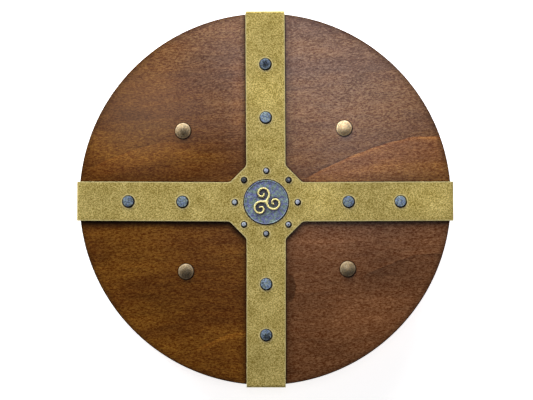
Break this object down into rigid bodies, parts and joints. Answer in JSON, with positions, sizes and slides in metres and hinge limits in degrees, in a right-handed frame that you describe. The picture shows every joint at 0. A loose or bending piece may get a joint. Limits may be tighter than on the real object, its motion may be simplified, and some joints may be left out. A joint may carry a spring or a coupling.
{
  "type": "round shield",
  "caption": "Round wooden shield with a riveted sheet-brass cross wrapped round its rim, a steel medallion with a triskele, domed strap bolts and leather straps on its back.",
  "frame": {"origin": "centre of the bounding box's base, under the shield's middle, on the plane of the two straps' crowns", "axes": "+Z out of the shield's front face, +Y towards the top of the shield as carried, +X to its right seen from the front"},
  "size_m": [0.5058, 0.5058, 0.0671],
  "materials": {
    "stained_wood": "brown stained plywood under a thin satin varnish, fine level grain",
    "aged_brass": "dull mustard gold sheet with a fine speckled patina, edges rubbed lighter",
    "blued_steel": "blue-grey darkened steel, satin, faintly mottled",
    "bright_brass": "pale polished brass, dark in the recesses beside it",
    "bolt_brass": "polished antique brass domes with dark patina low down",
    "leather": "dark brown vegetable-tanned strap leather, edges burnished darker"
  },
  "bodies": {
    "root": {"board": "stained_wood", "cross": "aged_brass", "medallion": "blued_steel", "triskele": "bright_brass", "arm_rivet_top_outer": "blued_steel", "arm_rivet_top_inner": "blued_steel", "arm_rivet_bottom_inner": "blued_steel", "arm_rivet_bottom_outer": "blued_steel", "arm_rivet_left_outer": "blued_steel", "arm_rivet_left_inner": "blued_steel", "arm_rivet_right_inner": "blued_steel", "arm_rivet_right_outer": "blued_steel", "hub_nail_1": "blued_steel", "hub_nail_2": "blued_steel", "hub_nail_3": "blued_steel", "hub_nail_4": "blued_steel", "hub_nail_5": "blued_steel", "hub_nail_6": "blued_steel", "hub_nail_7": "blued_steel", "hub_nail_8": "blued_steel", "strap_bolt_upper_left": "bolt_brass", "strap_bolt_upper_right": "bolt_brass", "strap_bolt_lower_left": "bolt_brass", "strap_bolt_lower_right": "bolt_brass", "strap_washer_upper_left": "bolt_brass", "strap_washer_upper_right": "bolt_brass", "strap_washer_lower_left": "bolt_brass", "strap_washer_lower_right": "bolt_brass", "grip_strap": "leather", "arm_strap": "leather"}
  },
  "joints": []
}
